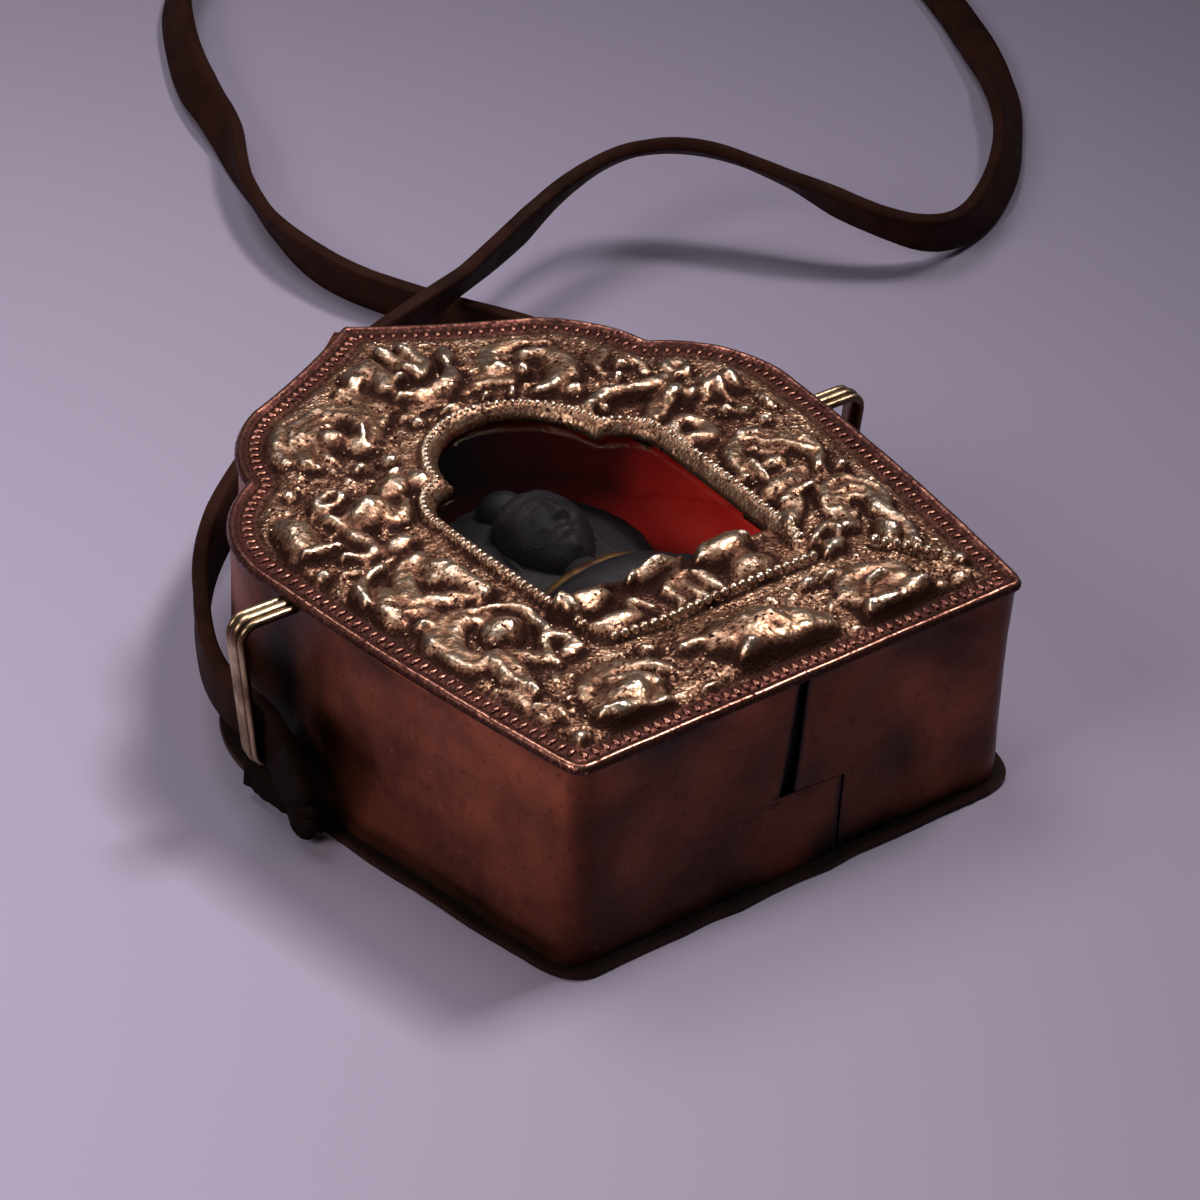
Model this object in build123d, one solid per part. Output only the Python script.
"""Small portable shrine box: a copper case with a chased front, a window and a neck strap.

The box lies on its back. X runs across the front, Y from the straight base to the pointed
top, and Z from the back plate to the chased front. Sizes are in millimetres.
"""

from build123d import *
import math
import os

os.makedirs("parts", exist_ok=True)

# Outline of the case, half of it, from the base corner to the point at the top
BASE_WIDTH = 60.0
SHOULDER_WIDTH = 73.4
SHOULDER_Y = 47.0
CUSP_WIDTH = 55.6
CUSP_Y = 63.2
UPPER_LOBE_WIDTH = 39.0
UPPER_LOBE_Y = 75.4
POINT_Y = 85.7
SIDE_BOW = 0.7
LOWER_LOBE_BOW = 2.9
UPPER_LOBE_BOW = 1.6
POINT_HOLLOW = 0.5
BASE_CORNER_R = 2.5

# Sheet thicknesses and heights of the stack
DEPTH = 26.5
FRONT_SHEET = 0.6
WALL_SHEET = 0.8
BACK_SHEET = 0.7
FRONT_OVERHANG = 0.35
BACK_LIP = 1.8

# Stepped seam where the ends of the wall strip meet, in the base wall
SEAM_SLOT_X = -1.2
SEAM_SLOT_WIDTH = 1.5
SEAM_STEP_Z = 11.5
SEAM_STEP_X = 6.0
SEAM_LINE = 0.3

# Collar on the back plate that plugs into the wall
COLLAR_SHEET = 0.6
COLLAR_HEIGHT = 5.0
COLLAR_CLEARANCE = 0.3

# Cloth linings
LINING_SHEET = 0.8
LINING_GAP = 0.1
BACK_PAD = 5.0
PAD_CLEARANCE = 0.3

# Window in the front: straight sides, two side lobes and a round top lobe
WINDOW_BASE_WIDTH = 26.4
WINDOW_BASE_Y = 17.2
WINDOW_SILL_Y = 24.0
WINDOW_SIDE_WIDTH = 29.6
WINDOW_SIDE_Y = 45.0
WINDOW_CUSP_WIDTH = 19.8
WINDOW_CUSP_Y = 49.4
WINDOW_TOP_Y = 59.6
WINDOW_SIDE_BOW = 0.3
WINDOW_LOBE_BOW = 1.3
WINDOW_TOP_BOW = 2.9
WINDOW_RIM_WIDTH = 2.2
WINDOW_RIM_HEIGHT = 1.5
WINDOW_BAND_HEIGHT = 0.8
WINDOW_FILLET_WIDTH = 1.1

# Chased border along the edge of the front
BEAD_INSET = 2.3
BEAD_PITCH = 1.5
BEAD_WIDTH = 1.0
BEAD_LENGTH = 1.5
BEAD_HEIGHT = 0.5
BEAD_TAPER = 32.0

# Raised ornament of the front: how the forms are rounded, then each form's own sizes
RELIEF_SEAT = 0.2
BOSS_SIDES = 8
BOSS_TURNS = (32.0, 68.0)
BOWL_LENGTH = 18.0
BOWL_WIDTH = 7.4
BOWL_HEIGHT = 3.2
VESSEL_LENGTH = 9.4
VESSEL_WIDTH = 7.6
VESSEL_HEIGHT = 3.4
VESSEL_INSET = 8.0
SMALL_BOSS = 2.6
SMALL_BOSS_HEIGHT = 1.2
SMALL_BOSS_INSET = 1.0
PETAL_GAP = 0.7
LOWER_PETAL_HEIGHT = 2.2
UPPER_PETAL_HEIGHT = 3.0
JEWEL_WIDTH = 2.8
JEWEL_HEIGHT = 3.0
LEAF_WIDTH = 2.4
LEAF_CREST = 0.4
LEAF_HEIGHT = 2.2
LEAF_RISE = 3.6
LEAF_FOOT = 3.2
LEAF_STEP = 11.4
LEAF_GAP = 0.2
BUD_LENGTH = 6.4
BUD_WIDTH = 4.2
BUD_HEIGHT = 2.6
BUD_DROP = 2.2
BUD_TURN = 60.0
DRUM_LENGTH = 8.6
DRUM_WIDTH = 4.6
DRUM_HEIGHT = 2.2
DRUM_RISE = 4.6
DRUM_TURN = 80.0
BEAST_LENGTH = 12.4
BEAST_WIDTH = 6.4
BEAST_HEIGHT = 3.2
BEAST_RISE = 7.0
BEAST_TURN = -24.0
CRESCENT_SPAN = 8.0
CRESCENT_DIP = 1.4
CRESCENT_WIDTH = 2.0
CRESCENT_RISE = 7.2
FLAME_LENGTH = 8.6
FLAME_WIDTH = 3.2
FLAME_HEIGHT = 2.4
FLAME_RISE = 6.8
FLAME_STEP = 4.2
FLAME_TURN = 24.0
CLOUD_SPAN = 8.0
CLOUD_RISE = 4.0
CLOUD_FOOT = 2.0
CLOUD_INSET = 5.4
CLOUD_DROP = 9.6
CURL_WIDTH = 4.2
CURL_DROP = 1.0

# Glass behind the window and the bent tabs that hold it
GLASS_SHEET = 1.3
GLASS_LAP = 2.6
TAB_SHEET = 0.4
TAB_WIDTH = 4.0
TAB_REACH = 2.4
TAB_CLEARANCE = 0.15

# Strap bails, bent from a strip with three ribs
BAIL_Y = 42.7
BAIL_TOP_Z = 25.0
BAIL_BOTTOM_Z = 6.0
BAIL_REACH = 6.6
BAIL_LEAN = 2.0
BAIL_BEND_R = 2.0
BAIL_WIDTH = 3.3
BAIL_SHEET = 1.2
BAIL_GROOVE = 0.4

# Votive figure, measured as it sits: across, front to back, and up
FIGURE_SEAT_Y = 6.6
FIGURE_SIDES = 12
LIMB_SIDES = 6
SEAT_WIDTH = 37.0
SEAT_DEPTH = 19.0
SEAT_HEIGHT = 5.5
SEAT_WAIST = 1.2
FLAT_CUT = 0.6
KNEE_SPAN = 34.0
KNEE_R = 4.6
KNEE_FORWARD = 1.5
WAIST_WIDTH = 17.0
CHEST_WIDTH = 21.0
SHOULDER_SPAN = 25.0
BODY_DEPTH = 12.5
BODY_HEIGHT = 25.0
BODY_LEAN = 2.4
CHEST_DROP = 6.5
SHOULDER_DROP = 2.4
ARM_R = 2.4
HAND_X = 1.4
HAND_REACH = 0.4
NECK_R = 2.9
NECK_LENGTH = 3.0
HEAD_WIDTH = 11.4
HEAD_HEIGHT = 13.4
HEAD_FORWARD = 0.8
TOPKNOT_R = 3.4
TOPKNOT_RISE = 1.5
HAIR_WIDTH = 15.5
HAIR_DEPTH = 9.0
HAIR_HEIGHT = 16.5
HAIR_BACK = 3.4
HAIR_RISE = 1.0
EAR_LENGTH = 5.6
EAR_DEPTH = 2.4
EAR_WIDTH = 1.6

# Neck strap of flat leather, standing on its edge, and the knots at its ends
STRAP_WIDTH = 6.0
STRAP_SHEET = 1.8
KNOT_LENGTH = 5.0
KNOT_R = 3.0
ARC_SHARE = 0.45
STRAP_ROUTE = [
    (-39.9, 34.6, 4.8), (-39.4, 41.0, 10.7), (-40.4, 47.5, 11.0), (-39.4, 53.5, 11.2),
    (-36.4, 60.0, 11.2), (-31.0, 69.3, 11.0), (-24.0, 77.5, 10.5), (-13.5, 86.8, 9.8),
    (-1.5, 95.5, 9.3), (13.0, 103.0, 9.2), (30.0, 109.0, 9.8), (47.0, 115.5, 11.0), (60.0, 121.0, 13.0),
    (72.0, 122.5, 14.5), (81.0, 117.0, 14.5), (87.5, 107.0, 12.0), (94.0, 97.5, 8.0),
    (103.0, 92.5, 4.5), (114.0, 95.8, 3.4), (128.0, 105.5, 3.2), (141.0, 120.0, 3.2),
    (150.0, 134.0, 3.2), (158.0, 150.0, 3.2), (166.0, 170.0, 3.2), (167.0, 192.0, 3.2),
    (158.0, 213.0, 3.2), (140.0, 230.0, 3.2), (117.0, 240.0, 3.2), (93.0, 241.0, 3.2),
    (72.0, 232.0, 3.2), (58.0, 217.5, 3.2), (50.5, 204.0, 3.2), (44.5, 190.5, 3.2),
    (40.5, 175.5, 3.2), (34.0, 160.0, 3.2), (29.5, 145.0, 3.2), (29.5, 130.5, 3.2),
    (34.5, 118.0, 3.2), (40.5, 106.0, 3.2), (45.0, 93.0, 3.4), (45.5, 79.0, 4.6),
    (43.5, 66.0, 7.4), (40.9, 55.5, 10.0), (39.4, 48.5, 11.0), (38.9, 41.0, 10.7),
    (39.5, 34.6, 4.8),
]


def bowed(start, end, rise):
    """Arc that stands out by rise to the right of the way from start to end."""
    a, b = Vector(*start), Vector(*end)
    along = (b - a).normalized()
    middle = (a + b) * 0.5 + Vector(along.Y, -along.X) * rise
    return ThreePointArc(a, middle, b)


def mirrored_face(half, bows):
    """Face with a straight base whose right half runs through the points, bowed between them."""
    right = [bowed(p, q, bow) for p, q, bow in zip(half, half[1:], bows)]
    left = [mirror(edge, about=Plane.YZ) for edge in right]
    x, y = half[0]
    base = Line((-x, y), (x, y))
    edges = [base.edge()] + [e.edge() for e in right] + [e.edge() for e in left]
    return make_face(edges)


def case_face(grow=0.0):
    """Outline of the case, set out or in by a margin."""
    half = [
        (BASE_WIDTH / 2, 0.0),
        (SHOULDER_WIDTH / 2, SHOULDER_Y),
        (CUSP_WIDTH / 2, CUSP_Y),
        (UPPER_LOBE_WIDTH / 2, UPPER_LOBE_Y),
        (0.0, POINT_Y),
    ]
    bows = [SIDE_BOW, LOWER_LOBE_BOW, UPPER_LOBE_BOW, -POINT_HOLLOW]
    face = mirrored_face(half, bows)
    corners = face.vertices().sort_by(Axis.Y)[:2]
    face = fillet(corners, BASE_CORNER_R)
    return offset(face, grow) if grow else face


def window_face(grow=0.0):
    """Outline of the window, set out or in by a margin."""
    half = [
        (WINDOW_BASE_WIDTH / 2, WINDOW_BASE_Y),
        (WINDOW_SIDE_WIDTH / 2, WINDOW_SIDE_Y),
        (WINDOW_CUSP_WIDTH / 2, WINDOW_CUSP_Y),
        (0.0, WINDOW_TOP_Y),
    ]
    face = mirrored_face(half, [WINDOW_SIDE_BOW, WINDOW_LOBE_BOW, WINDOW_TOP_BOW])
    return offset(face, grow) if grow else face


def opening_face():
    """Part of the window that is cut through, above the sill."""
    sill = Pos(0, WINDOW_SILL_Y - POINT_Y / 2) * Rectangle(BASE_WIDTH, POINT_Y)
    return window_face() - sill


def sheet(face, low, thickness):
    """Sheet of metal, glass or cloth cut to a face, with its underside at a height."""
    return extrude(Pos(0, 0, low) * face, thickness)


def half_width_at(y):
    """Half width of the case across its straight flaring sides."""
    share = min(max(y / SHOULDER_Y, 0.0), 1.0)
    return (BASE_WIDTH + (SHOULDER_WIDTH - BASE_WIDTH) * share) / 2


EGG_TURNS = (-72, -45, -15, 15, 45, 72)
FRONT_Z = DEPTH
FRONT_UNDER = DEPTH - FRONT_SHEET
GLASS_UNDER = FRONT_UNDER - GLASS_SHEET
PAD_TOP = BACK_SHEET + BACK_PAD
COLLAR_TOP = BACK_SHEET + COLLAR_HEIGHT
COLLAR_OUT = WALL_SHEET + COLLAR_CLEARANCE
COLLAR_IN = COLLAR_OUT + COLLAR_SHEET
LINING_OUT = WALL_SHEET + LINING_GAP
LINING_IN = LINING_OUT + LINING_SHEET
FIELD_EDGE = BEAD_INSET + BEAD_LENGTH
RIM_OUT = WINDOW_SIDE_WIDTH / 2 + WINDOW_RIM_WIDTH


def oval(width, depth, sides):
    """Closed line round an oval, drawn with a few straight sides."""
    turns = [2 * math.pi * (number + 0.5) / sides for number in range(sides)]
    points = [(width / 2 * math.cos(turn), depth / 2 * math.sin(turn)) for turn in turns]
    return make_face(Polyline(*points, close=True))


def stack(rings, sides):
    """Form with flat facets through ovals, each given by its centre, width and depth."""
    faces = [Pos(x, y, z) * oval(width, depth, sides) for x, y, z, width, depth in rings]
    return loft(faces, ruled=True)


def boss(length, width, height, sides=BOSS_SIDES):
    """Raised boss that swells from the sheet and rounds off at the top."""
    rings = [(0, 0, -RELIEF_SEAT, length, width)]
    for turn in BOSS_TURNS:
        share = math.cos(math.radians(turn))
        lift = math.sin(math.radians(turn)) / math.sin(math.radians(BOSS_TURNS[-1]))
        rings.append((0, 0, height * lift, length * share, width * share))
    return stack(rings, sides)


def scroll(start, middle, end, width, height):
    """Curled ridge with sloping sides, bent through three points of the sheet."""
    path = ThreePointArc(start, middle, end)
    crest = width * LEAF_CREST / 2
    ridge = Polyline((-width / 2, -RELIEF_SEAT), (-crest, height), (crest, height), (width / 2, -RELIEF_SEAT),
                     close=True)
    along = path % 0
    across = Vector(-along.Y, along.X, 0)
    return sweep(Plane(path @ 0, x_dir=across, z_dir=along) * make_face(ridge), path=path)


def pair(solid):
    """A form and its twin on the other side of the front."""
    return [solid, mirror(solid, about=Plane.YZ)]


def base_relief():
    """Offering bowl between two round vessels below the window, with small bosses beside them."""
    y = (FIELD_EDGE + WINDOW_BASE_Y - WINDOW_RIM_WIDTH) / 2
    corner_x, low_y = BASE_WIDTH / 2 - FIELD_EDGE, FIELD_EDGE + SMALL_BOSS_INSET
    vessel_x = corner_x - VESSEL_INSET
    small = boss(SMALL_BOSS, SMALL_BOSS, SMALL_BOSS_HEIGHT)
    forms = [Pos(0, y, 0) * boss(BOWL_LENGTH, BOWL_WIDTH, BOWL_HEIGHT, 2 * BOSS_SIDES)]
    forms += pair(Pos(vessel_x, y, 0) * boss(VESSEL_LENGTH, VESSEL_WIDTH, VESSEL_HEIGHT, 2 * BOSS_SIDES))
    forms += pair(Pos(corner_x - SMALL_BOSS_INSET, low_y, 0) * small)
    forms += pair(Pos(vessel_x - VESSEL_LENGTH / 2 - SMALL_BOSS, low_y, 0) * small)
    return forms


def lotus_relief():
    """Two rows of lotus petals along the foot of the window, the upper ones tipped by a jewel."""
    step = WINDOW_BASE_WIDTH / 3
    row = (WINDOW_SILL_Y - WINDOW_BASE_Y) / 2
    lower = boss(step - PETAL_GAP, row - PETAL_GAP / 2, LOWER_PETAL_HEIGHT)
    upper = boss(step - PETAL_GAP, row + JEWEL_WIDTH / 2, UPPER_PETAL_HEIGHT)
    jewel = boss(JEWEL_WIDTH, JEWEL_WIDTH, JEWEL_HEIGHT)
    forms = []
    for x in (-step, 0, step):
        forms.append(Pos(x, WINDOW_BASE_Y + row / 2, 0) * lower)
        forms.append(Pos(x, WINDOW_BASE_Y + row * 1.5 + JEWEL_WIDTH / 4, 0) * upper)
        forms.append(Pos(x, WINDOW_SILL_Y + JEWEL_WIDTH / 2, 0) * jewel)
    return forms


def side_relief():
    """Leaf scrolls that climb each side between the border and the window rim."""
    forms = []
    bud = Rot(0, 0, BUD_TURN) * boss(BUD_LENGTH, BUD_WIDTH, BUD_HEIGHT)
    for number in range(3):
        y = WINDOW_BASE_Y + number * LEAF_STEP
        outer = half_width_at(y) - FIELD_EDGE
        x, reach = (RIM_OUT + outer) / 2, (outer - RIM_OUT) / 2 - LEAF_WIDTH / 2 - LEAF_GAP
        arch = (x - reach, y - LEAF_FOOT), (x, y + LEAF_RISE), (x + reach, y - LEAF_FOOT)
        forms += pair(scroll(*arch, LEAF_WIDTH, LEAF_HEIGHT))
        forms += pair(Pos(x, y - BUD_DROP, 0) * bud)
    return forms


def shoulder_relief():
    """Beast-like swelling over each shoulder, with an upright drum beside it."""
    drum_x = SHOULDER_WIDTH / 2 - FIELD_EDGE - DRUM_WIDTH / 2
    beast_x = (WINDOW_CUSP_WIDTH / 2 + drum_x) / 2
    drum = Rot(0, 0, DRUM_TURN) * boss(DRUM_LENGTH, DRUM_WIDTH, DRUM_HEIGHT)
    beast = Rot(0, 0, BEAST_TURN) * boss(BEAST_LENGTH, BEAST_WIDTH, BEAST_HEIGHT, 2 * BOSS_SIDES)
    forms = pair(Pos(drum_x, SHOULDER_Y + DRUM_RISE, 0) * drum)
    return forms + pair(Pos(beast_x, SHOULDER_Y + BEAST_RISE, 0) * beast)


def crown_relief():
    """Flaming jewel of three petals over a crescent at the top, between two curled clouds."""
    low_y, tip = WINDOW_TOP_Y + CRESCENT_RISE, CRESCENT_SPAN / 2
    sag = (-tip, low_y + CRESCENT_DIP), (0, low_y), (tip, low_y + CRESCENT_DIP)
    forms = [scroll(*sag, CRESCENT_WIDTH, LEAF_HEIGHT)]
    flame = boss(FLAME_LENGTH, FLAME_WIDTH, FLAME_HEIGHT)
    flame_y = low_y + FLAME_RISE
    forms.append(Pos(0, flame_y, 0) * Rot(0, 0, 90) * flame)
    forms += pair(Pos(FLAME_STEP, flame_y, 0) * Rot(0, 0, 90 + FLAME_TURN) * flame)
    x, y, reach = UPPER_LOBE_WIDTH / 2 - CLOUD_INSET, UPPER_LOBE_Y - CLOUD_DROP, CLOUD_SPAN / 2
    arch = (x - reach, y - CLOUD_FOOT), (x, y + CLOUD_RISE), (x + reach, y - CLOUD_FOOT)
    forms += pair(scroll(*arch, LEAF_WIDTH, LEAF_HEIGHT))
    return forms + pair(Pos(x, y - CURL_DROP, 0) * boss(CURL_WIDTH, CURL_WIDTH, FLAME_HEIGHT))


def window_rim():
    """Stepped moulding round the window: a flat band with a narrower fillet on its back."""
    step = (WINDOW_RIM_WIDTH - WINDOW_FILLET_WIDTH) / 2
    ring = window_face(WINDOW_RIM_WIDTH) - window_face()
    band = sheet(ring, -RELIEF_SEAT, WINDOW_BAND_HEIGHT + RELIEF_SEAT)
    ridge = window_face(WINDOW_RIM_WIDTH - step) - window_face(step)
    return band + sheet(ridge, WINDOW_BAND_HEIGHT, WINDOW_RIM_HEIGHT - WINDOW_BAND_HEIGHT)


def bead_border():
    """Row of short chased bars along the whole edge of the front."""
    line = case_face(-BEAD_INSET).faces()[0].outer_wire()
    count = round(line.length / BEAD_PITCH)
    bar = extrude(Rectangle(BEAD_WIDTH, BEAD_LENGTH), BEAD_HEIGHT, taper=BEAD_TAPER)
    bars = []
    for number in range(count):
        at = (number + 0.5) / count
        seat = Plane(line.position_at(at), x_dir=line.tangent_at(at), z_dir=(0, 0, 1))
        bars.append(seat * bar)
    return bars


def make_front_plate():
    """Front sheet with its window, moulded rim, chased border and raised ornament."""
    plate = sheet(case_face(FRONT_OVERHANG) - opening_face(), FRONT_UNDER, FRONT_SHEET)
    forms = [window_rim()] + base_relief() + lotus_relief() + side_relief()
    forms += shoulder_relief() + crown_relief() + bead_border()
    return plate + [Pos(0, 0, FRONT_Z) * form for form in forms]


def make_wall_band():
    """Strip bent round the case, its ends meeting at a stepped seam in the base wall."""
    height = FRONT_UNDER - BACK_SHEET
    band = sheet(case_face() - case_face(-WALL_SHEET), BACK_SHEET, height)
    cut = 4 * WALL_SHEET
    slot_height = FRONT_UNDER - SEAM_STEP_Z
    step_width = SEAM_STEP_X - SEAM_SLOT_X
    foot_height = SEAM_STEP_Z - BACK_SHEET
    slot = Pos(SEAM_SLOT_X, 0, SEAM_STEP_Z + slot_height / 2) * Box(SEAM_SLOT_WIDTH, cut, slot_height)
    step = Pos(SEAM_SLOT_X + step_width / 2, 0, SEAM_STEP_Z) * Box(step_width + SEAM_LINE, cut, SEAM_LINE)
    foot = Pos(SEAM_STEP_X, 0, BACK_SHEET + foot_height / 2) * Box(SEAM_LINE, cut, foot_height)
    return band - slot - step - foot


def make_back_plate():
    """Back sheet with a lip that stands out past the wall."""
    return sheet(case_face(BACK_LIP), 0.0, BACK_SHEET)


def make_back_collar():
    """Collar on the back sheet that plugs into the wall."""
    return sheet(case_face(-COLLAR_OUT) - case_face(-COLLAR_IN), BACK_SHEET, COLLAR_HEIGHT)


def make_wall_lining():
    """Cloth glued to the wall between the collar and the front."""
    low = COLLAR_TOP + PAD_CLEARANCE
    return sheet(case_face(-LINING_OUT) - case_face(-LINING_IN), low, FRONT_UNDER - PAD_CLEARANCE - low)


def make_back_lining():
    """Thick cloth pad on the back sheet that fills the collar."""
    return sheet(case_face(-COLLAR_IN - PAD_CLEARANCE), BACK_SHEET, BACK_PAD)


def glass_face():
    """Pane a little larger than the window all round."""
    width = WINDOW_SIDE_WIDTH + 2 * GLASS_LAP
    height = WINDOW_TOP_Y - WINDOW_BASE_Y + 2 * GLASS_LAP
    return Pos(0, (WINDOW_TOP_Y + WINDOW_BASE_Y) / 2) * Rectangle(width, height)


def make_glass_pane():
    """Flat pane against the underside of the front."""
    return sheet(glass_face(), GLASS_UNDER, GLASS_SHEET)


def make_glass_tabs():
    """Four bent tabs under the front that hold the pane by its sides."""
    edge = WINDOW_SIDE_WIDTH / 2 + GLASS_LAP + TAB_CLEARANCE
    low = GLASS_UNDER - TAB_CLEARANCE
    leg = FRONT_UNDER - low + TAB_SHEET
    upright = Pos(edge + TAB_SHEET / 2, 0, FRONT_UNDER - leg / 2) * Box(TAB_SHEET, TAB_WIDTH, leg)
    finger = Pos(edge + TAB_SHEET - TAB_REACH / 2, 0, low - TAB_SHEET / 2)
    tab = upright + finger * Box(TAB_REACH, TAB_WIDTH, TAB_SHEET)
    reach = (WINDOW_TOP_Y - WINDOW_BASE_Y) / 4
    middle = (WINDOW_TOP_Y + WINDOW_BASE_Y) / 2
    return [twin for y in (middle - reach, middle + reach) for twin in pair(Pos(0, y, 0) * tab)]


def make_right_bail():
    """Staple of three-ribbed strip, set on the wall, whose leg leans in towards its lower foot."""
    foot_x = half_width_at(BAIL_Y) - 1.0
    out_x = half_width_at(BAIL_Y) + SIDE_BOW + BAIL_REACH
    path = FilletPolyline(
        (foot_x, BAIL_Y, BAIL_TOP_Z), (out_x, BAIL_Y, BAIL_TOP_Z),
        (out_x - BAIL_LEAN, BAIL_Y, BAIL_BOTTOM_Z), (foot_x, BAIL_Y, BAIL_BOTTOM_Z),
        radius=BAIL_BEND_R,
    )
    half, back = BAIL_WIDTH / 2, BAIL_SHEET / 2
    groove = BAIL_WIDTH / 6
    section = make_face(Polyline(
        (-half, -back), (half, -back), (half, back), (groove + BAIL_GROOVE, back),
        (groove, back - BAIL_GROOVE), (groove - BAIL_GROOVE, back), (BAIL_GROOVE - groove, back),
        (-groove, back - BAIL_GROOVE), (-groove - BAIL_GROOVE, back), (-half, back), close=True))
    seat = Plane((foot_x, BAIL_Y, BAIL_TOP_Z), x_dir=(0, 1, 0), z_dir=(1, 0, 0))
    return sweep(seat * section, path=path) - sheet(case_face(), 0.0, DEPTH)


def rounded(width, depth, height, sides):
    """Egg-like form of the figure, given by its three full sizes."""
    rings = []
    for turn in EGG_TURNS:
        share = math.cos(math.radians(turn))
        rings.append((0, 0, height / 2 * math.sin(math.radians(turn)), width * share, depth * share))
    return stack(rings, sides)


def limb(points, radius):
    """Limb along a line that is bent round its elbow."""
    path = FilletPolyline(*points, radius=1.2 * radius)
    return sweep(Plane(path @ 0, z_dir=path % 0) * RegularPolygon(radius, LIMB_SIDES), path=path)


def make_votive_figure():
    """Seated figure cast in one piece on a low waisted seat, flat at the back."""
    waist_z = SEAT_HEIGHT + KNEE_R
    neck_z = SEAT_HEIGHT + BODY_HEIGHT
    head_z = neck_z + (NECK_LENGTH + HEAD_HEIGHT) / 2
    seat = stack([
        (0, 0, 0, SEAT_WIDTH, SEAT_DEPTH),
        (0, 0, SEAT_HEIGHT / 2, SEAT_WIDTH - 2 * SEAT_WAIST, SEAT_DEPTH - 2 * SEAT_WAIST),
        (0, 0, SEAT_HEIGHT, SEAT_WIDTH, SEAT_DEPTH),
    ], FIGURE_SIDES)
    legs = rounded(KNEE_SPAN, 3 * KNEE_R, 2 * KNEE_R, FIGURE_SIDES)
    legs = Pos(0, -KNEE_FORWARD, waist_z - KNEE_R / 4) * legs
    body = stack([
        (0, 0, SEAT_HEIGHT, WAIST_WIDTH, BODY_DEPTH),
        (0, 0, waist_z, WAIST_WIDTH, BODY_DEPTH),
        (0, -BODY_LEAN / 2, neck_z - CHEST_DROP, CHEST_WIDTH, BODY_DEPTH),
        (0, -BODY_LEAN, neck_z - SHOULDER_DROP, SHOULDER_SPAN - 2 * ARM_R, BODY_DEPTH - ARM_R),
        (0, -BODY_LEAN, neck_z, 3 * NECK_R, 2.4 * NECK_R),
        (0, -BODY_LEAN, neck_z + NECK_LENGTH, 2 * NECK_R, 2 * NECK_R),
    ], FIGURE_SIDES)
    head = rounded(HEAD_WIDTH, HEAD_WIDTH, HEAD_HEIGHT, FIGURE_SIDES)
    head = Pos(0, -BODY_LEAN - HEAD_FORWARD, head_z) * head
    hair = rounded(HAIR_WIDTH, HAIR_DEPTH, HAIR_HEIGHT, FIGURE_SIDES)
    hair = Pos(0, HAIR_BACK - BODY_LEAN - HEAD_FORWARD, head_z + HAIR_RISE) * hair
    tuft = rounded(2 * TOPKNOT_R, 2 * TOPKNOT_R, 2 * TOPKNOT_R, BOSS_SIDES)
    tuft = Pos(0, -BODY_LEAN, head_z + HEAD_HEIGHT / 2 + TOPKNOT_RISE) * tuft
    shoulder = (SHOULDER_SPAN / 2 - ARM_R, -BODY_LEAN, neck_z - SHOULDER_DROP - ARM_R / 4)
    elbow = (SHOULDER_SPAN / 2, -BODY_LEAN, waist_z + ARM_R / 2)
    hand = (HAND_X, -BODY_DEPTH / 2 - HAND_REACH, waist_z - ARM_R / 4)
    ear = Pos(HEAD_WIDTH / 2, -BODY_LEAN, head_z) * rounded(EAR_WIDTH, EAR_DEPTH, EAR_LENGTH, BOSS_SIDES)
    figure = seat + [legs, body, head, hair, tuft]
    figure += pair(limb([shoulder, elbow, hand], ARM_R)) + pair(ear)
    flat_y = SEAT_DEPTH / 2 - FLAT_CUT
    figure -= Pos(0, flat_y + SEAT_DEPTH, 0) * Box(2 * SEAT_WIDTH, 2 * SEAT_DEPTH, 4 * BODY_HEIGHT)
    return Pos(0, FIGURE_SEAT_Y, PAD_TOP + flat_y) * Rot(-90, 0, 0) * figure


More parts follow.
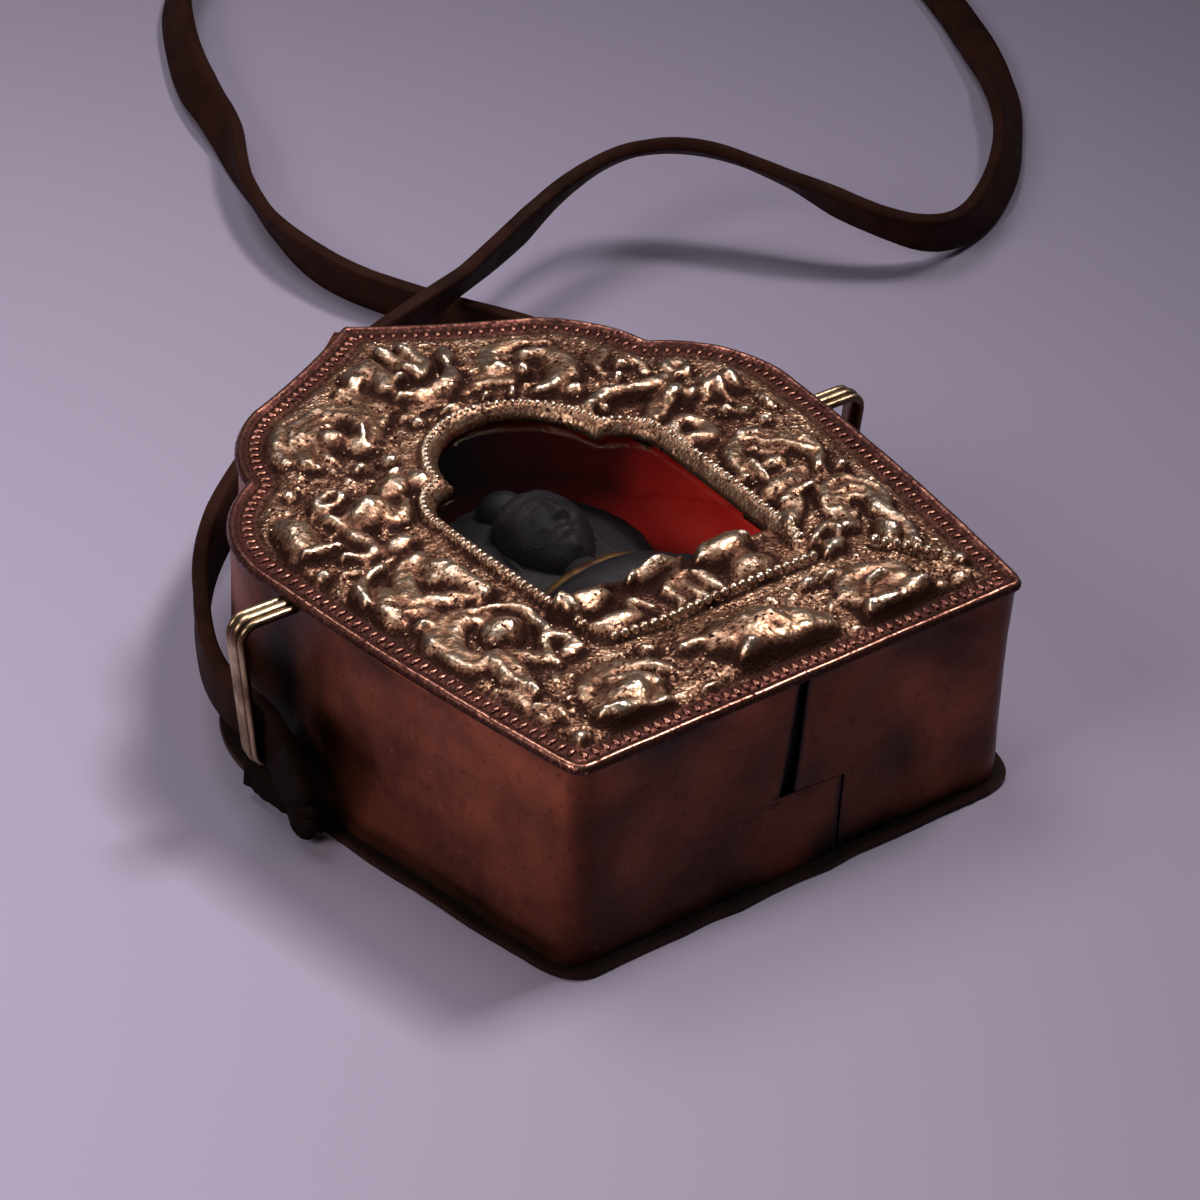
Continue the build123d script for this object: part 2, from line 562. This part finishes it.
def strap_radii():
    """Radius at each corner of the route, as large as its two runs allow."""
    points = [Vector(*point) for point in STRAP_ROUTE]
    radii = []
    for before, at, after in zip(points, points[1:], points[2:]):
        run = min((at - before).length, (after - at).length)
        half_turn = math.radians((at - before).get_angle(after - at)) / 2
        radii.append(ARC_SHARE * run / math.tan(half_turn))
    return radii


def make_strap():
    """Flat strap on its edge along the route, from knot to knot."""
    radii = strap_radii()
    path = FilletPolyline(*STRAP_ROUTE, radius=radii)
    along = (path % 0).normalized()
    level = along.cross(Vector(0, 0, 1)).normalized()
    section = Plane(path @ 0, x_dir=level, z_dir=along) * Rectangle(STRAP_SHEET, STRAP_WIDTH)
    strap = sweep(section, path=path)
    print("strap length", round(path.length, 1), "radii", [round(r, 1) for r in radii])
    print("strap volume", round(strap.volume, 1), "of", round(path.length * STRAP_SHEET * STRAP_WIDTH, 1))
    return strap


def make_knot(end, inward):
    """Knot at one end of the strap, a rounded lump with a flat face where the strap leaves it."""
    along = (Vector(*inward) - Vector(*end)).normalized()
    rings = []
    for share, girth in ((1.0, 0.55), (0.75, 0.9), (0.5, 1.0), (0.25, 0.95), (0.0, 0.7)):
        rings.append((0, 0, -KNOT_LENGTH * share, 2 * KNOT_R * girth, 2 * KNOT_R * girth))
    return Plane(end, z_dir=along) * stack(rings, BOSS_SIDES)


right_bail = make_right_bail()
nodes = {
    "front_plate": make_front_plate(),
    "wall_band": make_wall_band(),
    "back_plate": make_back_plate(),
    "back_collar": make_back_collar(),
    "wall_lining": make_wall_lining(),
    "back_lining": make_back_lining(),
    "glass_pane": make_glass_pane(),
    "glass_tabs": Compound(children=[tab.solid() for tab in make_glass_tabs()]),
    "right_bail": right_bail,
    "left_bail": mirror(right_bail, about=Plane.YZ),
    "votive_figure": make_votive_figure(),
    "strap": make_strap(),
    "left_strap_knot": make_knot(STRAP_ROUTE[0], STRAP_ROUTE[1]),
    "right_strap_knot": make_knot(STRAP_ROUTE[-1], STRAP_ROUTE[-2]),
}

# The origin is under the middle of the case, so everything moves by half its length in Y
lip = nodes["back_plate"].bounding_box()
to_origin = Pos(0, -(lip.min.Y + lip.max.Y) / 2, 0)
for name, shape in nodes.items():
    export_step(to_origin * shape, f"parts/{name}.step")
print("Y shift", round((lip.min.Y + lip.max.Y) / 2, 3))
